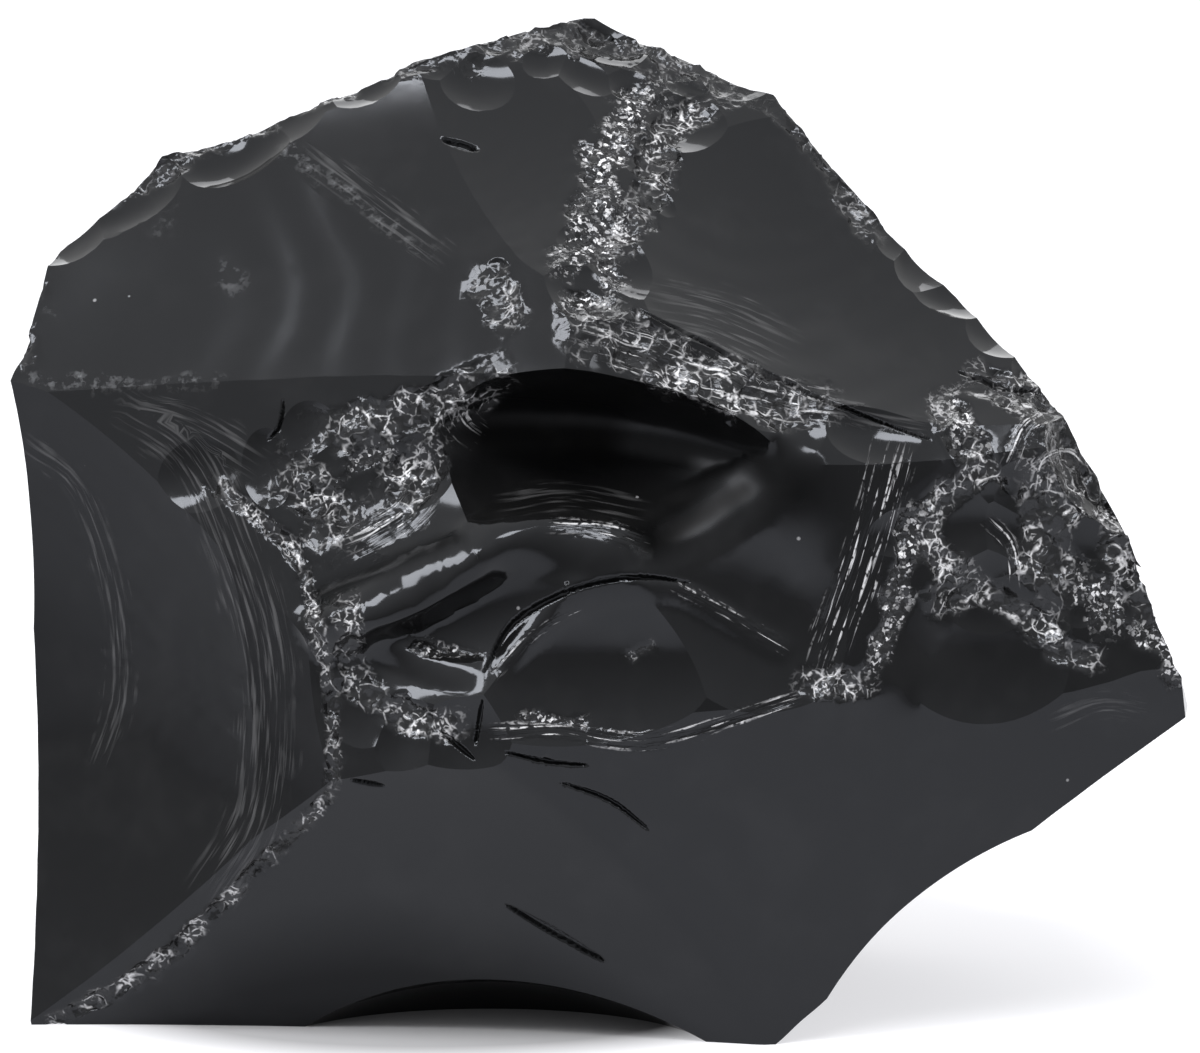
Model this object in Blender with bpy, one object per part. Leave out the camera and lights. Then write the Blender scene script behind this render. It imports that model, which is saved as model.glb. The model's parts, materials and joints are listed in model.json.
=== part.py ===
"""Obsidian chunk: a fist-sized lump of black volcanic glass, broken on every side.

Glass has no grain to split along, so a blow takes off a curved flake and leaves
a shallow dish, a conchoidal scar. The lump is made the way it was broken: it
starts as a block, and each scar is one flake taken off with a Boolean. Two
neighbouring scars meet in a sharp ridge, which nobody has to draw.

Lengths are in millimetres and are turned into metres where a mesh is made.
+X is to the right, -Y is the front, +Z is up, and the lump stands on z = 0.
"""
import math
import random
from collections import namedtuple

import bmesh
import bpy
from mathutils import Matrix, Vector

MM = 0.001

# The block that the flakes are struck from. Its underside is the resting face.
BLOCK_LOW = Vector((-52.0, -32.0, 0.0))
BLOCK_HIGH = Vector((52.0, 38.0, 84.0))

# A point well inside the lump, which tells a scar which way is out.
CORE = Vector((-2.0, 0.0, 38.0))

# A flake is a curved sheet of cells that is thickened outwards. A cell is as
# long as the sheet may be for its chord to stay this close to the curve.
CHORD_ERROR = 0.03
CELL_SHORTEST = 1.2
CELL_LONGEST = 7.0
SHEET_LONGEST = 110.0

# How far outwards a flake's sheet climbs, and how thick the flake is there.
FLAKE_RISE = 60.0
FLAKE_THICKNESS = 130.0
CHIP_RISE = 2.5
CHIP_THICKNESS = 8.0

# Where scars meet: the corners of the lump, as (right, back, up).
CORNERS = {
    # front left
    "left_shoulder": (-44.5, -2.0, 48.5),
    "left_foot": (-43.25, -8.0, 0.25),
    "arc_belly": (-25.0, -14.0, 27.25),
    "arc_top": (-32.0, -8.75, 45.0),
    "arc_foot": (-25.0, -15.0, 19.0),
    "strip_edge": (-19.5, -17.5, 27.25),
    "apron_left": (-37.5, -4.0, 48.5),
    "apron_right": (-9.5, -11.5, 50.25),
    "apron_foot": (-19.5, -15.0, 34.25),
    # the nose, and the two faces under it
    "nose": (-8.75, -20.5, 24.5),
    "nose_top_left": (-18.75, -16.25, 31.5),
    "nose_foot_left": (-17.75, -18.25, 22.0),
    "nose_right": (-9.0, -20.5, 24.75),
    "belly_top_left": (-19.5, -17.5, 20.25),
    "belly_ridge": (4.0, -16.25, 12.5),
    "lobe_foot": (13.75, -13.5, 1.0),
    "right_tip": (44.0, -8.0, 26.0),
    # shoulder, brow and crest
    "shoulder_crest": (-16.5, 9.0, 71.25),
    "shoulder_foot": (-3.75, -12.0, 52.25),
    "chip_left": (-24.75, 7.5, 65.75),
    "chip_foot": (-12.0, -3.25, 58.5),
    "chip_top": (-13.0, 6.5, 68.0),
    "brow_left": (-13.25, 6.25, 68.0),
    "brow_split": (4.75, 9.25, 69.0),
    "brow_foot": (0.0, -10.25, 55.75),
    "crest_left": (-13.0, 8.5, 70.5),
    "crest_right": (0.0, 9.75, 69.25),
    "crest_top": (-3.0, 16.0, 75.25),
    # temple, ledge and cheek, front right
    "brow_right": (8.5, 11.25, 68.75),
    "temple": (24.5, -10.25, 45.25),
    "ledge_left": (3.0, -8.5, 54.75),
    "ledge_right": (18.5, -8.5, 47.5),
    "ledge_lip": (3.0, -12.5, 49.0),
    "band_left": (14.0, -14.5, 26.75),
    "band_foot": (21.5, -12.75, 27.0),
    "band_top": (21.75, -10.5, 45.5),
    "cheek_top": (24.0, -10.25, 45.25),
    "cheek_right": (38.25, -9.25, 26.75),
    "dimple_left": (22.75, -12.5, 27.0),
    "dimple_right": (35.5, -9.75, 26.75),
    "dimple_top": (28.75, -9.5, 33.75),
    # the outline, and how far each of its flakes runs back
    "left_back": (-36.0, 22.0, 27.25),
    "rim_low": (-42.0, 6.0, 57.75),
    "rim_low_back": (-28.0, 26.0, 50.75),
    "rim_mid": (-33.75, 9.5, 64.25),
    "rim_mid_back": (-24.0, 28.0, 57.0),
    "rim_high": (-15.25, 9.0, 71.75),
    "rim_high_back": (-16.0, 30.0, 58.5),
    "peak_start": (-13.0, 10.5, 72.25),
    "peak_left": (-5.0, 15.5, 75.0),
    "peak_left_back": (-8.0, 34.0, 63.5),
    "cap_left": (-7.75, 14.5, 74.75),
    "cap_right": (0.5, 15.75, 74.5),
    "cap_back": (-3.25, 32.0, 69.5),
    "peak_right": (-0.75, 16.0, 74.75),
    "peak_right_back": (8.0, 34.0, 59.5),
    "brow_corner": (13.5, 13.5, 68.75),
    "rim_right": (26.75, 4.75, 55.0),
    "rim_right_back": (16.25, 30.0, 50.25),
    "rim_cheek": (37.25, -7.25, 44.75),
    "rim_cheek_back": (28.25, 28.0, 38.25),
    "rim_tip": (40.5, -7.75, 34.75),
    "rim_tip_back": (38.5, 24.0, 26.75),
    "point": (44.5, -8.0, 29.0),
    "point_back": (39.25, 20.0, 19.5),
    "under_right": (42.9, -8.25, 23.0),
    "under_foot": (13.75, -13.5, 0.5),
    "under_back": (16.0, 20.0, 4.0),
}

# Scars with an oval rim: the two ends of the rim, a corner on its side, hollow.
OVAL_SCARS = {
    "left_hollow": ("left_shoulder", "left_foot", "arc_belly", 2.6),
    "shoulder": ("left_shoulder", "shoulder_crest", "shoulder_foot", 0.7),
    "belly_right": ("nose", "right_tip", "lobe_foot", 0.6),
    "rib_strip": ("arc_top", "arc_foot", "strip_edge", 0.5),
    "belly_left": ("left_foot", "belly_ridge", "belly_top_left", 1.2),
    "temple_hollow": ("brow_right", "temple", "ledge_left", 2.4),
    "apron": ("apron_left", "apron_right", "apron_foot", 0.4),
    "left_side": ("left_foot", "left_shoulder", "left_back", 0.3),
    "rim_flake_low": ("left_shoulder", "rim_low", "rim_low_back", 0.3),
    "rim_flake_mid": ("rim_low", "rim_mid", "rim_mid_back", 0.3),
    "rim_flake_high": ("rim_mid", "rim_high", "rim_high_back", 0.3),
    "peak_flake_left": ("peak_start", "peak_left", "peak_left_back", 0.2),
    "peak_cap": ("cap_left", "cap_right", "cap_back", 0.2),
    "peak_flake_right": ("peak_right", "brow_corner", "peak_right_back", 0.2),
    "right_flake_high": ("brow_corner", "rim_right", "rim_right_back", 0.3),
    "right_flake_mid": ("rim_right", "rim_cheek", "rim_cheek_back", 0.2),
    "right_flake_low": ("rim_cheek", "rim_tip", "rim_tip_back", 0.1),
    "point_flake": ("rim_tip", "point", "point_back", 0.4),
    "undercut": ("under_right", "under_foot", "under_back", 0.5),
}

# Scars with a round rim: three corners on the rim, hollow.
ROUND_SCARS = {
    "shoulder_chip": ("chip_left", "chip_foot", "chip_top", 0.3),
    "brow_hollow": ("brow_split", "brow_foot", "brow_left", 1.2),
    "crest_face": ("crest_left", "crest_right", "crest_top", 0.2),
    "ledge": ("ledge_left", "ledge_right", "ledge_lip", 0.3),
    "rib_band": ("band_left", "band_foot", "band_top", 0.1),
    "cheek": ("cheek_top", "band_foot", "cheek_right", 0.6),
    "cheek_dimple": ("dimple_left", "dimple_right", "dimple_top", 1.2),
    "nose_side": ("nose_top_left", "nose_right", "nose_foot_left", 0.4),
}

# Cups inside a face, and the scars that close the back: the middle of the rim,
# the way it faces (degrees round from the front, degrees up), half its length,
# half its width, its hollow, and how far its length is turned from level.
CUP_SCARS = {
    "brow_bevel": ((2.0, 0.25, 61.25), 21.0, 51.5, 12.0, 12.0, 0.1, 0.0),
    "nose_cup": ((3.2, -17.7, 30.6), 4.0, 4.0, 12.0, 7.6, 2.6, -2.0),
    "cavern": ((2.2, -13.4, 44.8), -10.0, -5.0, 14.6, 6.0, 7.6, -8.0),
    "cavern_side": ((10.0, -14.7, 38.9), 10.0, -6.0, 10.5, 7.6, 2.2, -52.0),
    "wave": ((-7.6, -17.4, 34.4), -8.0, 4.0, 13.0, 4.8, 1.9, 18.0),
    "hackle_cup": ((-15.0, -12.25, 43.75), -6.0, 20.0, 7.2, 5.0, 1.2, 25.0),
    "foot_arch": ((-8.5, -9.0, 0.5), 0.0, -66.0, 13.5, 9.0, 3.2, 0.0),
    "under_bite": ((24.5, -9.0, 8.0), 90.0, -50.0, 13.0, 12.5, 2.8, 0.0),
    "tip_flake": ((43.7, -8.0, 27.5), 80.0, 5.0, 8.0, 5.0, 0.1, 0.0),
    "back_left": ((-20.0, 25.0, 40.0), 205.0, 8.0, 34.0, 30.0, 2.5, 20.0),
    "back_right": ((16.0, 25.0, 46.0), 160.0, 14.0, 32.0, 28.0, 2.5, -15.0),
    "back_foot": ((4.0, 27.0, 14.0), 176.0, -16.0, 36.0, 22.0, 2.0, 5.0),
    "back_scoop_high": ((0.0, 25.5, 56.0), 182.0, 16.0, 13.0, 9.0, 2.0, 35.0),
    "back_scoop_left": ((-31.0, 18.0, 34.0), 236.0, 6.0, 15.0, 9.0, 1.8, 70.0),
    "back_scoop_low": ((-8.0, 27.0, 22.0), 186.0, -4.0, 12.0, 7.0, 1.6, -20.0),
    "back_scoop_right": ((26.0, 20.5, 38.0), 148.0, 4.0, 13.0, 8.0, 1.8, 55.0),
    "back_scoop_mid": ((10.0, 29.5, 30.0), 165.0, 12.0, 11.0, 7.0, 1.5, -40.0),
    "side_scoop_low": ((-40.0, 7.0, 12.0), 262.0, -4.0, 12.0, 7.5, 1.3, 65.0),
    "side_scoop_high": ((-34.0, 11.0, 32.0), 232.0, 4.0, 11.0, 7.0, 1.3, 40.0),
    "heel_scoop_left": ((-27.0, 19.5, 13.0), 215.0, 4.0, 12.0, 8.0, 1.6, 15.0),
    "heel_scoop_right": ((16.0, 24.0, 12.0), 168.0, -16.0, 11.0, 6.5, 1.4, 20.0),
    "under_scoop": ((25.0, 0.5, 13.0), 105.0, -46.0, 11.0, 7.0, 1.4, 30.0),
}

# Crushed places, where the edge broke into many small chips: from, to, how wide,
# the way they face (degrees round from the front, degrees up), and how many.
CRUSHED_PLACES = {
    "crest": ((-11.0, 10.0, 72.5), (12.0, 13.0, 70.0), 2.6, 12.0, 50.0, 10),
    "brow_bevel": ((6.0, 8.0, 68.0), (0.0, -9.0, 56.0), 2.4, 20.0, 50.0, 9),
    "ledge": ((1.0, -10.0, 52.0), (19.0, -10.0, 46.5), 1.8, 18.0, 30.0, 9),
    "hackle": ((-26.0, -10.0, 45.5), (-13.0, -14.0, 41.0), 4.0, -16.0, 20.0, 11),
    "cheek": ((27.0, -8.0, 43.0), (37.0, -7.0, 29.5), 5.0, 14.0, 8.0, 15),
    "nose_side": ((-18.0, -17.0, 26.0), (-11.0, -19.0, 25.0), 1.5, -10.0, 10.0, 4),
    "shoulder_rim": ((-42.0, 5.0, 57.0), (-17.0, 9.0, 71.0), 1.0, -40.0, 65.0, 8),
    "cheek_rim": ((20.0, 9.0, 61.5), (38.0, -6.0, 43.0), 1.2, 50.0, 40.0, 7),
    "back_rim": ((-24.0, 20.0, 60.0), (10.0, 24.0, 63.0), 3.0, 185.0, 50.0, 7),
    "back_ridge": ((-6.0, 28.0, 24.0), (2.0, 27.0, 52.0), 1.5, 185.0, 5.0, 7),
}
CHIP_SEED = 7
CHIP_SHORTEST = 1.3
CHIP_LONGEST = 2.9
CHIP_NARROWEST = 0.55
CHIP_HOLLOW = 0.17
CHIP_TILT = 16.0
SIGHT_LENGTH = 14.0
SIGHT_STEP = 0.25

# One scar: its rim's axes and half sizes, how deep it dips inside the rim, how
# far its flake climbs outside the rim, and how thick that flake is.
Scar = namedtuple("Scar", "name frame half_length half_width hollow rise thickness")

GLASS_COLOR = (0.012, 0.012, 0.013, 1.0)
GLASS_ROUGHNESS = 0.08


def clear_scene():
    for old in list(bpy.data.objects):
        bpy.data.objects.remove(old, do_unlink=True)


def new_collection(name):
    collection = bpy.data.collections.new(name)
    bpy.context.scene.collection.children.link(collection)
    return collection


def corner(name):
    return Vector(CORNERS[name])


def rim_frame(centre, along, outward):
    """Axes of a scar: x along its rim, z out of the rock, origin in the rim's middle."""
    across = outward.cross(along)
    frame = Matrix((along, across, outward)).transposed().to_4x4()
    frame.translation = centre
    return frame


def pointing_out(normal, centre):
    if normal.dot(centre - CORE) < 0.0:
        return -normal
    return normal


def oval_rim(end_a, end_b, side):
    """The ellipse that has end_a and end_b as the ends of one axis and passes side."""
    centre = (end_a + end_b) / 2
    half_length = (end_b - end_a).length / 2
    along = (end_b - end_a).normalized()
    to_side = side - centre
    reach_along = to_side.dot(along)
    sideways = to_side - along * reach_along
    share = max(1.0 - (reach_along / half_length) ** 2, 0.05)
    half_width = sideways.length / math.sqrt(share)
    outward = pointing_out(along.cross(sideways.normalized()), centre)
    return rim_frame(centre, along, outward), half_length, half_width


def round_rim(corner_a, corner_b, corner_c):
    """The circle through three corners."""
    side_b = corner_b - corner_a
    side_c = corner_c - corner_a
    normal = side_b.cross(side_c)
    towards = normal.cross(side_b) * side_c.length_squared
    towards += side_c.cross(normal) * side_b.length_squared
    centre = corner_a + towards / (2.0 * normal.length_squared)
    radius = (corner_a - centre).length
    outward = pointing_out(normal.normalized(), centre)
    return rim_frame(centre, side_b.normalized(), outward), radius, radius


def cup_rim(centre, azimuth, elevation, turn):
    """Axes of a cup from the way it faces and the turn of its length."""
    azimuth = math.radians(azimuth)
    elevation = math.radians(elevation)
    outward = Vector((math.sin(azimuth) * math.cos(elevation),
                      -math.cos(azimuth) * math.cos(elevation),
                      math.sin(elevation)))
    level = Vector((0.0, 0.0, 1.0)).cross(outward).normalized()
    steep = outward.cross(level)
    turn = math.radians(turn)
    along = level * math.cos(turn) + steep * math.sin(turn)
    return rim_frame(Vector(centre), along, outward)


def big_scars():
    """The scars of the three tables, in their order."""
    scars = []
    for name, (end_a, end_b, side, hollow) in OVAL_SCARS.items():
        rim = oval_rim(corner(end_a), corner(end_b), corner(side))
        scars.append(Scar(name, *rim, hollow, FLAKE_RISE, FLAKE_THICKNESS))
    for name, (first, second, third, hollow) in ROUND_SCARS.items():
        rim = round_rim(corner(first), corner(second), corner(third))
        scars.append(Scar(name, *rim, hollow, FLAKE_RISE, FLAKE_THICKNESS))
    for name, (centre, azimuth, elevation, *sizes, turn) in CUP_SCARS.items():
        frame = cup_rim(centre, azimuth, elevation, turn)
        scars.append(Scar(name, frame, *sizes, FLAKE_RISE, FLAKE_THICKNESS))
    return scars


def is_rock(point, scars):
    """Whether a point is left standing by every scar."""
    for scar in scars:
        along, across, out = scar.frame.inverted() @ point
        dip = (along / scar.half_length) ** 2 + (across / scar.half_width) ** 2 - 1.0
        if out > scar.hollow * dip:
            return False
    return True


def first_rock(point, outward, scars):
    """The first rock met on the line that comes in to a point from outside."""
    place = point + outward * SIGHT_LENGTH
    for _ in range(round(2.0 * SIGHT_LENGTH / SIGHT_STEP)):
        if is_rock(place, scars):
            return place
        place = place - outward * SIGHT_STEP
    return None


def chip_scars(scars):
    """Small scars strewn over the crushed places, each on the face it finds there."""
    rng = random.Random(CHIP_SEED)
    chips = []
    for name, (start, end, spread, azimuth, elevation, count) in CRUSHED_PLACES.items():
        for index in range(count):
            middle = Vector(start).lerp(Vector(end), (index + rng.random()) / count)
            middle += Vector([rng.uniform(-spread, spread) for _ in range(3)])
            way_out = (azimuth + rng.uniform(-CHIP_TILT, CHIP_TILT),
                       elevation + rng.uniform(-CHIP_TILT, CHIP_TILT))
            turn = rng.uniform(0.0, 180.0)
            length = rng.uniform(CHIP_SHORTEST, CHIP_LONGEST)
            width = length * rng.uniform(CHIP_NARROWEST, 1.0)
            outward = cup_rim(middle, *way_out, turn).col[2].xyz
            face = first_rock(middle, outward, scars)
            if face is not None:
                frame = cup_rim(face, *way_out, turn)
                chips.append(Scar(f"{name}_chip_{index}", frame, length, width,
                                  CHIP_HOLLOW * width, CHIP_RISE, CHIP_THICKNESS))
    return chips


def sheet_cells(half_axis, scar):
    """How far a sheet reaches along one axis, and the number of cells that takes."""
    reach = min(half_axis * math.sqrt(1.0 + scar.rise / scar.hollow), SHEET_LONGEST)
    cell = 2.0 * half_axis * math.sqrt(CHORD_ERROR / scar.hollow)
    cell = min(max(cell, CELL_SHORTEST), CELL_LONGEST)
    return reach, math.ceil(2.0 * reach / cell)


def flake(scar, collection):
    """The cutter for a scar: a paraboloid through its rim, thickened outwards."""
    reach_along, cells_along = sheet_cells(scar.half_length, scar)
    reach_across, cells_across = sheet_cells(scar.half_width, scar)
    bm = bmesh.new()
    bmesh.ops.create_grid(bm, x_segments=cells_along, y_segments=cells_across, size=1.0)
    for vert in bm.verts:
        along = vert.co.x * reach_along
        across = vert.co.y * reach_across
        dip = (along / scar.half_length) ** 2 + (across / scar.half_width) ** 2 - 1.0
        vert.co = (along, across, scar.hollow * dip)
    outer = bmesh.ops.extrude_face_region(bm, geom=bm.faces[:])["geom"]
    outer_verts = [item for item in outer if isinstance(item, bmesh.types.BMVert)]
    bmesh.ops.translate(bm, verts=outer_verts, vec=(0.0, 0.0, scar.thickness))
    bmesh.ops.transform(bm, matrix=Matrix.Scale(MM, 4) @ scar.frame, verts=bm.verts[:])
    bmesh.ops.recalc_face_normals(bm, faces=bm.faces[:])
    mesh = bpy.data.meshes.new(scar.name)
    bm.to_mesh(mesh)
    bm.free()
    cutter = bpy.data.objects.new(scar.name, mesh)
    cutter.hide_render = True
    cutter.display_type = "WIRE"
    collection.objects.link(cutter)
    return cutter


def block(name, collection):
    """The plain block, with its origin on the resting face."""
    size = BLOCK_HIGH - BLOCK_LOW
    middle = (BLOCK_HIGH + BLOCK_LOW) / 2
    bm = bmesh.new()
    bmesh.ops.create_cube(bm, size=1.0)
    bmesh.ops.scale(bm, verts=bm.verts[:], vec=size * MM)
    bmesh.ops.translate(bm, verts=bm.verts[:], vec=middle * MM)
    mesh = bpy.data.meshes.new(name)
    bm.to_mesh(mesh)
    bm.free()
    rock = bpy.data.objects.new(name, mesh)
    collection.objects.link(rock)
    return rock


def strike_off(rock, scars, collection):
    for scar in scars:
        cutter = flake(scar, collection)
        cut = rock.modifiers.new(cutter.name, "BOOLEAN")
        cut.operation = "DIFFERENCE"
        cut.solver = "EXACT"
        cut.object = cutter


def black_glass():
    material = bpy.data.materials.new("black_glass")
    material.use_nodes = True
    shader = material.node_tree.nodes["Principled BSDF"]
    shader.inputs["Base Color"].default_value = GLASS_COLOR
    shader.inputs["Roughness"].default_value = GLASS_ROUGHNESS
    shader.inputs["Metallic"].default_value = 0.0
    return material


def main():
    clear_scene()
    parts = new_collection("obsidian_chunk")
    cutters = new_collection("flakes")
    rock = block("obsidian_chunk", parts)
    rock.data.materials.append(black_glass())
    scars = big_scars()
    strike_off(rock, scars + chip_scars(scars), cutters)


main()
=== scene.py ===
# %% [markdown]
# # A chunk of obsidian
# Obsidian is lava that cooled so fast that it became glass. It has no grain, so a
# blow takes off a curved flake and leaves a shallow dish, a conchoidal scar, and
# two scars meet in a ridge as sharp as a knife. This lesson takes the plain
# faceted lump from the model, gives it a fine mesh that follows every scar
# exactly, adds the ripples, ribs and crushed edges that broken glass has, and
# finishes it as polished black glass on a white table.

# %% Load the model as a fixed frame
import itertools
import json
import math
import random
from collections import namedtuple

import bmesh
import bpy
import numpy as np
from mathutils import Matrix, Vector

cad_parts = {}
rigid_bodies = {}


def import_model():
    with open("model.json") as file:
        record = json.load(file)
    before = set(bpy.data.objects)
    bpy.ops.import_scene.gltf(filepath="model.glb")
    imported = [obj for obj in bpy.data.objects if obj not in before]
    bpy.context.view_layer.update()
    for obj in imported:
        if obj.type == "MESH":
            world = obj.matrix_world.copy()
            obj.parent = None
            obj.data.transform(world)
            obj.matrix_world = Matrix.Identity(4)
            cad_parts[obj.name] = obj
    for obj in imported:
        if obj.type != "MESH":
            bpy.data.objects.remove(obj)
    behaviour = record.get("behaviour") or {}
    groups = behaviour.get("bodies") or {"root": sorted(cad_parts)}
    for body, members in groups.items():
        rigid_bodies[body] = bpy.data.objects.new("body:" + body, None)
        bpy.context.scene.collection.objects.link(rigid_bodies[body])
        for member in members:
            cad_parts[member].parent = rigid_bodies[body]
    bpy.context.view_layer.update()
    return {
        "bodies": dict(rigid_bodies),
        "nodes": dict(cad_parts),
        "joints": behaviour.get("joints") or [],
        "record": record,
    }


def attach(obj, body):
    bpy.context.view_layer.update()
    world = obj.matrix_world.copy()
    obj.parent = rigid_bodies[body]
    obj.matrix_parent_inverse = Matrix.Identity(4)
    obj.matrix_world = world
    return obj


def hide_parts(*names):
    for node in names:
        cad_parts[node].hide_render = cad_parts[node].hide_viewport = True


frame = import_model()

MM = 0.001

# %% [markdown]
# ## The scars
# Every face of the lump is one scar: a paraboloid with an oval or round rim. The
# model was cut with these same scars, so the lesson repeats their corners and
# sizes. With them it can say, for any point, how deep it lies in the glass, and
# that is what later puts each vertex of a fine mesh exactly on a scar.
# Lengths are in millimetres, as (right, back, up).

# %% Corners of the lump, where scars meet
CORNERS = {
    # front left
    "left_shoulder": (-44.5, -2.0, 48.5),
    "left_foot": (-43.25, -8.0, 0.25),
    "arc_belly": (-25.0, -14.0, 27.25),
    "arc_top": (-32.0, -8.75, 45.0),
    "arc_foot": (-25.0, -15.0, 19.0),
    "strip_edge": (-19.5, -17.5, 27.25),
    "apron_left": (-37.5, -4.0, 48.5),
    "apron_right": (-9.5, -11.5, 50.25),
    "apron_foot": (-19.5, -15.0, 34.25),
    # the nose, and the two faces under it
    "nose": (-8.75, -20.5, 24.5),
    "nose_top_left": (-18.75, -16.25, 31.5),
    "nose_foot_left": (-17.75, -18.25, 22.0),
    "nose_right": (-9.0, -20.5, 24.75),
    "belly_top_left": (-19.5, -17.5, 20.25),
    "belly_ridge": (4.0, -16.25, 12.5),
    "lobe_foot": (13.75, -13.5, 1.0),
    "right_tip": (44.0, -8.0, 26.0),
    # shoulder, brow and crest
    "shoulder_crest": (-16.5, 9.0, 71.25),
    "shoulder_foot": (-3.75, -12.0, 52.25),
    "chip_left": (-24.75, 7.5, 65.75),
    "chip_foot": (-12.0, -3.25, 58.5),
    "chip_top": (-13.0, 6.5, 68.0),
    "brow_left": (-13.25, 6.25, 68.0),
    "brow_split": (4.75, 9.25, 69.0),
    "brow_foot": (0.0, -10.25, 55.75),
    "crest_left": (-13.0, 8.5, 70.5),
    "crest_right": (0.0, 9.75, 69.25),
    "crest_top": (-3.0, 16.0, 75.25),
    # temple, ledge and cheek, front right
    "brow_right": (8.5, 11.25, 68.75),
    "temple": (24.5, -10.25, 45.25),
    "ledge_left": (3.0, -8.5, 54.75),
    "ledge_right": (18.5, -8.5, 47.5),
    "ledge_lip": (3.0, -12.5, 49.0),
    "band_left": (14.0, -14.5, 26.75),
    "band_foot": (21.5, -12.75, 27.0),
    "band_top": (21.75, -10.5, 45.5),
    "cheek_top": (24.0, -10.25, 45.25),
    "cheek_right": (38.25, -9.25, 26.75),
    "dimple_left": (22.75, -12.5, 27.0),
    "dimple_right": (35.5, -9.75, 26.75),
    "dimple_top": (28.75, -9.5, 33.75),
    # the outline, and how far each of its flakes runs back
    "left_back": (-36.0, 22.0, 27.25),
    "rim_low": (-42.0, 6.0, 57.75),
    "rim_low_back": (-28.0, 26.0, 50.75),
    "rim_mid": (-33.75, 9.5, 64.25),
    "rim_mid_back": (-24.0, 28.0, 57.0),
    "rim_high": (-15.25, 9.0, 71.75),
    "rim_high_back": (-16.0, 30.0, 58.5),
    "peak_start": (-13.0, 10.5, 72.25),
    "peak_left": (-5.0, 15.5, 75.0),
    "peak_left_back": (-8.0, 34.0, 63.5),
    "cap_left": (-7.75, 14.5, 74.75),
    "cap_right": (0.5, 15.75, 74.5),
    "cap_back": (-3.25, 32.0, 69.5),
    "peak_right": (-0.75, 16.0, 74.75),
    "peak_right_back": (8.0, 34.0, 59.5),
    "brow_corner": (13.5, 13.5, 68.75),
    "rim_right": (26.75, 4.75, 55.0),
    "rim_right_back": (16.25, 30.0, 50.25),
    "rim_cheek": (37.25, -7.25, 44.75),
    "rim_cheek_back": (28.25, 28.0, 38.25),
    "rim_tip": (40.5, -7.75, 34.75),
    "rim_tip_back": (38.5, 24.0, 26.75),
    "point": (44.5, -8.0, 29.0),
    "point_back": (39.25, 20.0, 19.5),
    "under_right": (42.9, -8.25, 23.0),
    "under_foot": (13.75, -13.5, 0.5),
    "under_back": (16.0, 20.0, 4.0),
}

# %% The big scars
# Oval rim: the two ends of the rim, a corner on its side, and the hollow.
OVAL_SCARS = {
    "left_hollow": ("left_shoulder", "left_foot", "arc_belly", 2.6),
    "shoulder": ("left_shoulder", "shoulder_crest", "shoulder_foot", 0.7),
    "belly_right": ("nose", "right_tip", "lobe_foot", 0.6),
    "rib_strip": ("arc_top", "arc_foot", "strip_edge", 0.5),
    "belly_left": ("left_foot", "belly_ridge", "belly_top_left", 1.2),
    "temple_hollow": ("brow_right", "temple", "ledge_left", 2.4),
    "apron": ("apron_left", "apron_right", "apron_foot", 0.4),
    "left_side": ("left_foot", "left_shoulder", "left_back", 0.3),
    "rim_flake_low": ("left_shoulder", "rim_low", "rim_low_back", 0.3),
    "rim_flake_mid": ("rim_low", "rim_mid", "rim_mid_back", 0.3),
    "rim_flake_high": ("rim_mid", "rim_high", "rim_high_back", 0.3),
    "peak_flake_left": ("peak_start", "peak_left", "peak_left_back", 0.2),
    "peak_cap": ("cap_left", "cap_right", "cap_back", 0.2),
    "peak_flake_right": ("peak_right", "brow_corner", "peak_right_back", 0.2),
    "right_flake_high": ("brow_corner", "rim_right", "rim_right_back", 0.3),
    "right_flake_mid": ("rim_right", "rim_cheek", "rim_cheek_back", 0.2),
    "right_flake_low": ("rim_cheek", "rim_tip", "rim_tip_back", 0.1),
    "point_flake": ("rim_tip", "point", "point_back", 0.4),
    "undercut": ("under_right", "under_foot", "under_back", 0.5),
}

# Round rim: three corners on the rim, and the hollow.
ROUND_SCARS = {
    "shoulder_chip": ("chip_left", "chip_foot", "chip_top", 0.3),
    "brow_hollow": ("brow_split", "brow_foot", "brow_left", 1.2),
    "crest_face": ("crest_left", "crest_right", "crest_top", 0.2),
    "ledge": ("ledge_left", "ledge_right", "ledge_lip", 0.3),
    "rib_band": ("band_left", "band_foot", "band_top", 0.1),
    "cheek": ("cheek_top", "band_foot", "cheek_right", 0.6),
    "cheek_dimple": ("dimple_left", "dimple_right", "dimple_top", 1.2),
    "nose_side": ("nose_top_left", "nose_right", "nose_foot_left", 0.4),
}

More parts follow.
